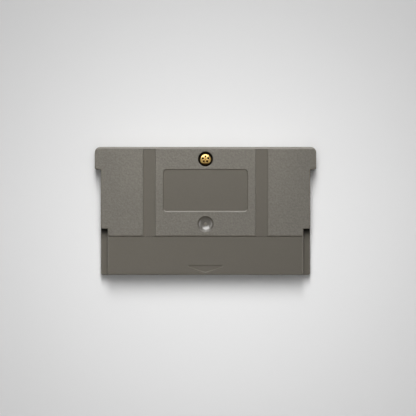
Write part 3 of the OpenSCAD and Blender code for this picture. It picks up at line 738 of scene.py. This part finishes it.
def threadShape(setup):
    core, crest, pitch = setup["coreRadius"] - 0.05, setup["crestRadius"], setup["threadPitch"]
    root, tip = setup["threadRoot"], setup["threadCrest"]
    start = setup["tip"] + setup["threadEnds"][0]
    turns = (setup["seat"] - setup["threadEnds"][1] - start) / pitch
    steps = round(turns * setup["threadSteps"])
    corners = [(core, -root), (crest, -tip), (crest, tip), (core, root)]
    shape = bmesh.new()
    section = [shape.verts.new((out * mm, 0, (start + up) * mm)) for out, up in corners]
    bmesh.ops.spin(
        shape, geom=[shape.faces.new(section)], cent=(0, 0, 0), axis=(0, 0, 1),
        dvec=(0, 0, pitch * turns / steps * mm), angle=2 * math.pi * turns, steps=steps,
        use_duplicate=False,
    )
    bmesh.ops.recalc_face_normals(shape, faces=shape.faces)
    return shape


def makeScrewShape(setup):
    screwShape = spunShape(screwOutline(setup), (0, 0, 0), setup["steps"])
    cutDrive(screwShape, setup)
    thread = threadShape(setup)
    spare = bpy.data.meshes.new("thread")
    thread.to_mesh(spare)
    thread.free()
    screwShape.from_mesh(spare)
    bpy.data.meshes.remove(spare)
    x, y = setup["axis"]
    bmesh.ops.translate(screwShape, verts=screwShape.verts, vec=(x * mm, y * mm, 0))
    return screwShape


def makeBrass(setup):
    material, tree, shader = newMaterial("screwBrass", setup["colour"], setup["roughness"], 1.0)
    vector = millimetres(tree)
    axisX, axisY = setup["axis"]
    blotch = noiseOf(tree, vector, setup["blotchScale"], detail=4, roughness=0.6)
    blotched = ramp(tree, blotch, *setup["blotches"], smooth=True)
    fromAxis = calc(tree, "SUBTRACT", alongAxis(tree, vector, "Y"), axisY)
    # painted shade: darker on the head's lower part and on its upper rim
    worn = ramp(tree, fromAxis, *setup["lowerShadeAlong"], smooth=True)
    shadeFreeX, shadeFreeY = setup["shadeFreeAt"]
    away = distanceFrom(tree, vector, axisX + shadeFreeX, axisY + shadeFreeY)
    rimShade = ramp(tree, away, *setup["rimShadeEdge"])
    centres = [(axisX + lobe.x, axisY + lobe.y) for lobe in lobeCentres(setup)]
    nearest = distanceFrom(tree, vector, *centres[0])
    for centre in centres[1:]:
        nearest = calc(tree, "MINIMUM", nearest, distanceFrom(tree, vector, *centre))
    radius, edge = setup["lobeRadius"], setup["lobeEdge"]
    onHead = ramp(tree, alongAxis(tree, vector, "Z"), *setup["headFrom"])
    inside = calc(tree, "MULTIPLY", ramp(tree, nearest, radius + edge, radius - edge), onHead)
    colour = mixed(tree, blotched, setup["colour"], setup["blotchColour"])
    colour = mixed(tree, calc(tree, "MAXIMUM", worn, rimShade), colour, setup["paintedHeadShade"])
    # painted shade in the drive holes, without metal sheen
    colour = mixed(tree, inside, colour, setup["holeColour"])
    bare = ramp(tree, onHead, 0, 1, 1, setup["headShine"])
    bare = calc(tree, "MULTIPLY", calc(tree, "SUBTRACT", 1.0, inside), bare)
    gloss = ramp(tree, calc(tree, "MAXIMUM", inside, rimShade), 0, 1, setup["gloss"], 0)
    feed(tree, shader, "Base Color", colour)
    feed(tree, shader, "Metallic", bare)
    feed(tree, shader, "Specular IOR Level", gloss)
    roughened(tree, shader, blotch, setup["roughness"], setup["roughSpreads"])
    bumped(tree, shader, noiseOf(tree, vector, setup["fineScale"]), setup["fineDepth"])
    return material


addPiece("caseScrew", makeScrewShape(screw), [makeBrass(screw)], "case_screw", sharpAngle=70)
print("screw made")


# Film label of the front face: a plain border, a coloured field with pale sweeps and dots, and
# a pale strip, no lettering. Lengths and places are in millimetres.
label = {
    "centre": (0.0, 1.55),
    "halfSize": (21.2, 11.2),
    "border": 0.7,
    "stripHeight": 4.2,
    "printEdge": 0.04,  # half the width over which two inks meet
    "borderColour": (0.62, 0.63, 0.62),
    "fieldColours": ((0.030, 0.10, 0.17), (0.10, 0.33, 0.36)),
    "fieldAlong": (2, 24),
    "fieldSlant": 0.22,
    "sweepColour": (0.30, 0.52, 0.50),
    "sweepFrom": (-34, -26),
    "sweepStart": 30,
    "sweepSpacing": 5.0,
    "sweepEdge": (3.4, 3.7),
    "sweepShare": 0.45,
    "dotScale": 1.6,
    "dotEdge": (0.30, 0.24),
    "dotAlong": (6, 20),
    "dotShare": 0.22,
    "stripColour": (0.55, 0.56, 0.54),
    "fleckScale": 6,
    "fleckContrast": 0.05,
    "roughness": 0.28,
    "roughSpreads": (0.05, 0.08),
    "waveScale": 0.35,
    "waveDepth": 0.03 * mm,
    "edge": 0.03 * mm,
}


# Distance from the rectangle's edges, inwards
def insetOf(tree, x, y, centre, halfSize):
    insets = [
        calc(tree, "SUBTRACT", half, calc(tree, "ABSOLUTE", calc(tree, "SUBTRACT", axis, middle)))
        for axis, middle, half in zip((x, y), centre, halfSize)
    ]
    return calc(tree, "MINIMUM", *insets)


def makeLabelFilm(setup):
    material, tree, shader = newMaterial("labelFilm", setup["borderColour"], setup["roughness"])
    vector = millimetres(tree)
    x, y = alongAxis(tree, vector, "X"), alongAxis(tree, vector, "Y")
    soft, border, strip = setup["printEdge"], setup["border"], setup["stripHeight"]
    inset = insetOf(tree, x, y, setup["centre"], setup["halfSize"])
    height = calc(tree, "SUBTRACT", y, setup["centre"][1] - setup["halfSize"][1])
    slant = calc(tree, "ADD", height, calc(tree, "MULTIPLY", x, setup["fieldSlant"]))
    upper, lower = setup["fieldColours"]
    field = mixed(tree, ramp(tree, slant, *setup["fieldAlong"], smooth=True), lower, upper)
    arc = distanceFrom(tree, vector, *setup["sweepFrom"])
    arc = calc(tree, "SUBTRACT", arc, setup["sweepStart"])
    sweep = ramp(tree, calc(tree, "PINGPONG", arc, setup["sweepSpacing"]), *setup["sweepEdge"])
    sweep = calc(tree, "MULTIPLY", sweep, setup["sweepShare"])
    dots = addNode(tree, "ShaderNodeTexVoronoi", {"Scale": setup["dotScale"], "Randomness": 0.0})
    tree.links.new(stretched(tree, vector, (1, 1, 0)), dots.inputs["Vector"])
    fewer = ramp(tree, slant, *setup["dotAlong"], setup["dotShare"], 0)
    dot = ramp(tree, dots.outputs["Distance"], *setup["dotEdge"])
    dot = calc(tree, "MULTIPLY", dot, fewer)
    field = mixed(tree, sweep, field, setup["sweepColour"])
    field = mixed(tree, dot, field, setup["sweepColour"])
    onStrip = ramp(tree, height, strip + soft, strip - soft)
    field = mixed(tree, onStrip, field, setup["stripColour"])
    inner = ramp(tree, inset, border - soft, border + soft)
    colour = mixed(tree, inner, setup["borderColour"], field)
    flecks = noiseOf(tree, vector, setup["fleckScale"])
    waves = noiseOf(tree, vector, setup["waveScale"], detail=1)
    painted(tree, shader, colour, flecks, setup["fleckContrast"])
    roughened(tree, shader, waves, setup["roughness"], setup["roughSpreads"])
    bumped(tree, shader, waves, setup["waveDepth"], 0.5)
    return material


addSoftened("frontLabel", "front_label", makeLabelFilm(label), label["edge"], angle=60)
print("label made")


# Circuit board: solder mask with copper lines under it, bare glass fibre on its cut edges.
# Lengths and places are in millimetres.
board = {
    "maskColour": (0.020, 0.105, 0.045),
    "traceColour": (0.035, 0.175, 0.070),
    "padColour": (0.62, 0.45, 0.18),
    "coreColour": (0.36, 0.33, 0.16),
    "maskRoughness": 0.30,
    "coreRoughness": 0.75,
    "contactsBelow": (-7.7, -7.9),  # Y where straight lines take over, towards the contacts
    "contactPitch": 1.5323,
    "firstContact": -23.75,
    "lineEdge": (0.16, 0.12),
    "bricks": {"Brick Width": 5.3, "Row Height": 0.62, "Mortar Size": 0.10, "Mortar Smooth": 0.1},
    "brickShift": 0.37,
    "brickSquash": 0.7,
    "spotScale": 0.42,
    "spotRandomness": 0.8,
    "spotEdge": (0.15, 0.13),
    "cloudScale": 0.8,
    "cloudContrast": 0.12,
    "layers": (0.8, 0.8, 14),
    "layerContrast": 0.6,
    "relief": 0.03 * mm,
    "edge": 0.04 * mm,
}


# Lines that run side by side and step across, drawn by the joints of flat bricks
def copperLines(tree, vector, setup):
    colours = {"Color1": (0, 0, 0, 1), "Color2": (0, 0, 0, 1), "Mortar": (1, 1, 1, 1)}
    bricks = addNode(
        tree, "ShaderNodeTexBrick", colours | {"Scale": 1.0} | setup["bricks"],
        offset=setup["brickShift"], squash=setup["brickSquash"], squash_frequency=3,
    )
    tree.links.new(vector, bricks.inputs["Vector"])
    return bricks.outputs["Color"]


def makeBoardMask(setup):
    material, tree, shader = newMaterial("boardMask", setup["maskColour"], setup["maskRoughness"])
    vector = millimetres(tree)
    x, y = alongAxis(tree, vector, "X"), alongAxis(tree, vector, "Y")
    nearEdge = ramp(tree, y, *setup["contactsBelow"])
    column = calc(tree, "SUBTRACT", x, setup["firstContact"])
    column = calc(tree, "PINGPONG", column, setup["contactPitch"] / 2)
    straight = calc(tree, "MULTIPLY", ramp(tree, column, *setup["lineEdge"]), nearEdge)
    lines = mixed(tree, nearEdge, copperLines(tree, vector, setup), (0, 0, 0))
    trace = calc(tree, "MAXIMUM", lines, straight)
    values = {"Scale": setup["spotScale"], "Randomness": setup["spotRandomness"]}
    spots = addNode(tree, "ShaderNodeTexVoronoi", values)
    tree.links.new(stretched(tree, vector, (1, 1, 0)), spots.inputs["Vector"])
    spot = ramp(tree, spots.outputs["Distance"], *setup["spotEdge"])
    pad = calc(tree, "MULTIPLY", spot, calc(tree, "SUBTRACT", 1.0, nearEdge))
    colour = mixed(tree, trace, setup["maskColour"], setup["traceColour"])
    colour = mixed(tree, pad, colour, setup["padColour"])
    cloud = noiseOf(tree, vector, setup["cloudScale"], detail=3)
    painted(tree, shader, colour, cloud, setup["cloudContrast"])
    bumped(tree, shader, calc(tree, "MAXIMUM", trace, spot), setup["relief"])
    return material


def makeBoardCore(setup):
    material, tree, shader = newMaterial("boardCore", setup["coreColour"], setup["coreRoughness"])
    vector = stretched(tree, millimetres(tree), setup["layers"])
    layers = noiseOf(tree, vector, 1.0, detail=3, roughness=0.7)
    painted(tree, shader, setup["coreColour"], layers, setup["layerContrast"])
    bumped(tree, shader, layers, setup["relief"])
    return material


def makeBoardShape(setup):
    shape = softened(mergedCopy("circuit_board"), setup["edge"], 1, 60)
    for face in shape.faces:
        face.material_index = 1 if abs(face.normal.z) < 0.8 else 0
    return shape


boardLook = [makeBoardMask(board), makeBoardCore(board)]
addPiece("circuitBoard", makeBoardShape(board), boardLook, "circuit_board")
print("board made")


# Gold pads, with the fine strokes that a connector's springs leave along them
contacts = {
    "colour": (0.88, 0.62, 0.22),
    "worn": (0.66, 0.42, 0.16),
    "bloomScale": 0.9,
    "strokes": (14, 0.5, 1),
    "strokeContrast": 0.25,
    "strokeDepth": 0.01 * mm,
    "roughness": 0.22,
    "roughSpreads": (0.07, 0.16),
    "edge": 0.02 * mm,
}


def makeContactGold(setup):
    material, tree, shader = newMaterial("contactGold", setup["colour"], setup["roughness"], 1.0)
    vector = millimetres(tree)
    bloom = ramp(tree, noiseOf(tree, vector, setup["bloomScale"]), 0.4, 0.7, 0, 0.5)
    along = stretched(tree, vector, setup["strokes"])
    strokes = noiseOf(tree, along, 1.0, detail=3, roughness=0.6)
    colour = mixed(tree, bloom, setup["colour"], setup["worn"])
    painted(tree, shader, colour, strokes, setup["strokeContrast"])
    roughened(tree, shader, strokes, setup["roughness"], setup["roughSpreads"])
    bumped(tree, shader, strokes, setup["strokeDepth"])
    return material


addSoftened("edgeContacts", "edge_contacts", makeContactGold(contacts), contacts["edge"], 1)
print("contacts made")


# Chip packages: matt epoxy whose flanks slope away from a parting line at half height
package = {
    "colour": (0.022, 0.022, 0.024),
    "grainScale": 7,
    "grainContrast": 0.5,
    "grainDepth": 0.01 * mm,
    "cloudScale": 0.5,
    "cloudContrast": 0.4,
    "roughness": 0.62,
    "roughSpreads": (0.1, 0.08),
    "draft": 0.07 * mm,  # how far the flanks draw in at the top and the underside
    "edge": 0.04 * mm,
}
tinned = {
    "colour": (0.66, 0.67, 0.68),
    "crystalScale": 4,
    "crystalContrast": 0.35,
    "crystalDepth": 0.008 * mm,
    "roughness": 0.30,
    "roughSpreads": (0.1, 0.15),
    "edge": 0.025 * mm,
}
chipLeads = {
    "rom_chip": "rom_leads",
    "save_ram_chip": "save_ram_leads",
    "supply_switch_chip": "supply_switch_leads",
    "logic_chip": "logic_leads",
    "steering_diode": "diode_leads",
}


def makeChipEpoxy(setup):
    material, tree, shader = newMaterial("chipEpoxy", setup["colour"], setup["roughness"])
    vector = millimetres(tree)
    grain = noiseOf(tree, vector, setup["grainScale"], detail=3, roughness=0.7)
    cloud = noiseOf(tree, vector, setup["cloudScale"])
    colour = mottled(tree, setup["colour"], grain, setup["grainContrast"])
    painted(tree, shader, colour, cloud, setup["cloudContrast"])
    roughened(tree, shader, cloud, setup["roughness"], setup["roughSpreads"])
    bumped(tree, shader, grain, setup["grainDepth"])
    return material


def makeTinnedMetal(setup):
    material, tree, shader = newMaterial("tinnedMetal", setup["colour"], setup["roughness"], 1.0)
    crystals = noiseOf(tree, millimetres(tree), setup["crystalScale"], detail=4, roughness=0.6)
    painted(tree, shader, setup["colour"], crystals, setup["crystalContrast"])
    roughened(tree, shader, crystals, setup["roughness"], setup["roughSpreads"])
    bumped(tree, shader, crystals, setup["crystalDepth"])
    return material


def packageShape(node, setup, near=0.01 * mm):
    shape = mergedCopy(node)
    low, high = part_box(node)
    middle = (low + high) / 2
    bmesh.ops.bisect_plane(
        shape, geom=shape.verts[:] + shape.edges[:] + shape.faces[:], dist=0.0005 * mm,
        plane_co=middle, plane_no=(0, 0, 1),
    )
    for vert in shape.verts:
        inward = setup["draft"] * abs(vert.co.z - middle.z) / (middle.z - low.z)
        for axis in (0, 1):
            if abs(vert.co[axis] - low[axis]) < near:
                vert.co[axis] += inward
            elif abs(vert.co[axis] - high[axis]) < near:
                vert.co[axis] -= inward
    softened(shape, setup["edge"], 2, 50)
    bmesh.ops.remove_doubles(shape, verts=shape.verts, dist=0.002 * mm)
    bmesh.ops.dissolve_degenerate(shape, edges=shape.edges, dist=0.001 * mm)
    return shape


epoxy = makeChipEpoxy(package)
tin = makeTinnedMetal(tinned)
for chip, leads in chipLeads.items():
    first, *others = chip.split("_")
    title = first + "".join(word.capitalize() for word in others)
    addPiece(title, packageShape(chip, package), [epoxy], chip)
    addSoftened(title + "Leads", leads, tin, tinned["edge"])
print("chips and leads made")


# Backup cell: a rolled steel can, its smaller pole towards the board behind a dark sealing
# ring, with welded nickel tabs. Lengths and places are in millimetres.
cell = {
    "place": (-15.1 * mm, 1.0 * mm, 3.75 * mm),
    "canRadius": 8.0,
    "thickness": 1.6,
    "poleRadius": 6.6,
    "stampRadius": 6.3,
    "stampDepth": 0.05,
    "steps": 128,
    "sealBelow": 0.36,
    "sealWithin": 0.6,  # from the can's side to the seal
    "steelColour": (0.62, 0.62, 0.60),
    "steelRoughness": 0.24,
    "steelSpreads": (0.06, 0.12),
    "turnScale": 16,
    "turnContrast": 0.25,
    "turnWander": 0.7,
    "turnDepth": 0.006 * mm,
    "sealColour": (0.03, 0.035, 0.04),
    "sealRoughness": 0.55,
    "sealScale": 3,
    "sealContrast": 0.5,
}
tabs = {
    "colour": (0.60, 0.59, 0.56),
    "weldColour": (0.30, 0.27, 0.23),
    "weldShare": 0.6,
    "weldApart": 0.6,  # of each spot from the tab's middle
    "weldFromEnd": 1.1,
    "weldEdge": (0.42, 0.22),
    "marks": (9, 0.6, 1),
    "markContrast": 0.25,
    "markHeight": 0.2,
    "roughness": 0.32,
    "roughSpreads": (0.08, 0.10),
    "relief": 0.04 * mm,
    "edge": 0.05 * mm,
}
solder = {
    "colour": (0.62, 0.63, 0.64),
    "roughness": 0.20,
    "roughSpreads": (0.06, 0.14),
    "rippleScale": 2.2,
    "rippleContrast": 0.3,
    "rippleDepth": 0.05 * mm,
}


def cellOutline(setup):
    can, top, pole = setup["canRadius"], setup["thickness"], setup["poleRadius"]
    stamp, dent = setup["stampRadius"], top - setup["stampDepth"]
    return [
        (0, 0), (pole - 0.15, 0), (pole - 0.04, 0.03), (pole, 0.12), (pole, 0.28),
        (pole + 0.05, 0.33), (can - 0.75, 0.33), (can - 0.62, 0.30), (can - 0.3, 0.31),
        (can - 0.1, 0.40), (can, 0.6), (can, top - 0.35), (can - 0.06, top - 0.16),
        (can - 0.16, top - 0.05), (can - 0.32, top), (stamp + 0.22, top), (stamp + 0.08, dent),
        (stamp - 0.08, dent), (stamp - 0.22, top), (0, top),
    ]


def makeCellShape(setup):
    shape = spunShape(cellOutline(setup), setup["place"], setup["steps"])
    outer = setup["canRadius"] - setup["sealWithin"]
    for face in shape.faces:
        middle = (face.calc_center_median() - Vector(setup["place"])) / mm
        onSeal = middle.z < setup["sealBelow"] and setup["poleRadius"] < middle.xy.length < outer
        face.material_index = 1 if onSeal else 0
    return shape


def makeCellSteel(setup):
    material, tree, shader = newMaterial(
        "cellSteel", setup["steelColour"], setup["steelRoughness"], 1.0,
    )
    vector = millimetres(tree)
    away = distanceFrom(tree, vector, *(value / mm for value in setup["place"][:2]))
    turned = addNode(tree, "ShaderNodeCombineXYZ")
    tree.links.new(calc(tree, "MULTIPLY", away, setup["turnScale"]), turned.inputs["X"])
    tree.links.new(noiseOf(tree, vector, setup["turnWander"]), turned.inputs["Y"])
    strokes = noiseOf(tree, turned.outputs[0], 1.0, detail=3, roughness=0.6)
    painted(tree, shader, setup["steelColour"], strokes, setup["turnContrast"])
    roughened(tree, shader, strokes, setup["steelRoughness"], setup["steelSpreads"])
    bumped(tree, shader, strokes, setup["turnDepth"])
    return material


def makeCellSeal(setup):
    material, tree, shader = newMaterial("cellSeal", setup["sealColour"], setup["sealRoughness"])
    fine = noiseOf(tree, millimetres(tree), setup["sealScale"], detail=3)
    painted(tree, shader, setup["sealColour"], fine, setup["sealContrast"])
    return material


# Nickel strip with rolling marks along it and the dents of two spot welds
def makeTabNickel(setup):
    material, tree, shader = newMaterial("tabNickel", setup["colour"], setup["roughness"], 1.0)
    vector = millimetres(tree)
    marks = noiseOf(tree, stretched(tree, vector, setup["marks"]), 1.0, detail=3, roughness=0.6)
    low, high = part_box("battery_top_tab")
    middle, weldY = (low.x + high.x) / 2 / mm, low.y / mm + setup["weldFromEnd"]
    spots = [
        distanceFrom(tree, vector, middle + side * setup["weldApart"], weldY) for side in (-1, 1)
    ]
    dent = ramp(tree, calc(tree, "MINIMUM", *spots), *setup["weldEdge"], smooth=True)
    colour = mottled(tree, setup["colour"], marks, setup["markContrast"])
    scorched = calc(tree, "MULTIPLY", dent, setup["weldShare"])
    height = calc(tree, "SUBTRACT", calc(tree, "MULTIPLY", marks, setup["markHeight"]), dent)
    feed(tree, shader, "Base Color", mixed(tree, scorched, colour, setup["weldColour"]))
    roughened(tree, shader, marks, setup["roughness"], setup["roughSpreads"])
    bumped(tree, shader, height, setup["relief"])
    return material


def makeSolder(setup):
    material, tree, shader = newMaterial("solder", setup["colour"], setup["roughness"], 1.0)
    ripple = noiseOf(tree, millimetres(tree), setup["rippleScale"], detail=3)
    painted(tree, shader, setup["colour"], ripple, setup["rippleContrast"])
    roughened(tree, shader, ripple, setup["roughness"], setup["roughSpreads"], 0.35, 0.65)
    bumped(tree, shader, ripple, setup["rippleDepth"])
    return material


nickel = makeTabNickel(tabs)
cellLook = [makeCellSteel(cell), makeCellSeal(cell)]
addPiece("backupBattery", makeCellShape(cell), cellLook, "backup_battery")
addSoftened("batteryTopTab", "battery_top_tab", nickel, tabs["edge"])
addSoftened("batteryBottomTab", "battery_bottom_tab", nickel, tabs["edge"])
addPiece("tabSolder", mergedCopy("tab_solder"), [makeSolder(solder)], "tab_solder", sharpAngle=60)
print("cell, tabs and solder made")


# Ceramic capacitors, and resistors with a dark film on a white ceramic body
smallParts = {
    "ceramicColour": (0.42, 0.29, 0.17),
    "ceramicRoughness": 0.45,
    "ceramicContrast": 0.5,
    "ceramicDepth": 0.008 * mm,
    "filmColour": (0.025, 0.025, 0.028),
    "aluminaColour": (0.72, 0.71, 0.68),
    "filmAbove": 3.98,  # millimetres
    "filmRoughness": 0.35,
    "aluminaRoughness": 0.6,
    "resistorContrast": 0.3,
    "speckleScale": 8,
    "edge": 0.05 * mm,
}


def makeCapacitorTan(setup):
    material, tree, shader = newMaterial(
        "capacitorTan", setup["ceramicColour"], setup["ceramicRoughness"],
    )
    speckle = noiseOf(tree, millimetres(tree), setup["speckleScale"], detail=3, roughness=0.7)
    painted(tree, shader, setup["ceramicColour"], speckle, setup["ceramicContrast"])
    bumped(tree, shader, speckle, setup["ceramicDepth"])
    return material


def makeResistorBody(setup):
    material, tree, shader = newMaterial(
        "resistorBody", setup["filmColour"], setup["filmRoughness"],
    )
    vector = millimetres(tree)
    height, above = alongAxis(tree, vector, "Z"), setup["filmAbove"]
    onTop = ramp(tree, height, above - 0.02, above)
    colour = mixed(tree, onTop, setup["aluminaColour"], setup["filmColour"])
    speckle = noiseOf(tree, vector, setup["speckleScale"])
    rough = ramp(tree, onTop, 0, 1, setup["aluminaRoughness"], setup["filmRoughness"])
    painted(tree, shader, colour, speckle, setup["resistorContrast"])
    feed(tree, shader, "Roughness", rough)
    return material


for node, title, material in (
    ("ceramic_capacitors", "ceramicCapacitors", makeCapacitorTan(smallParts)),
    ("capacitor_end_caps", "capacitorEndCaps", tin),
    ("chip_resistors", "chipResistors", makeResistorBody(smallParts)),
    ("resistor_end_caps", "resistorEndCaps", tin),
):
    addSoftened(title, node, material, smallParts["edge"])
print("small parts made")
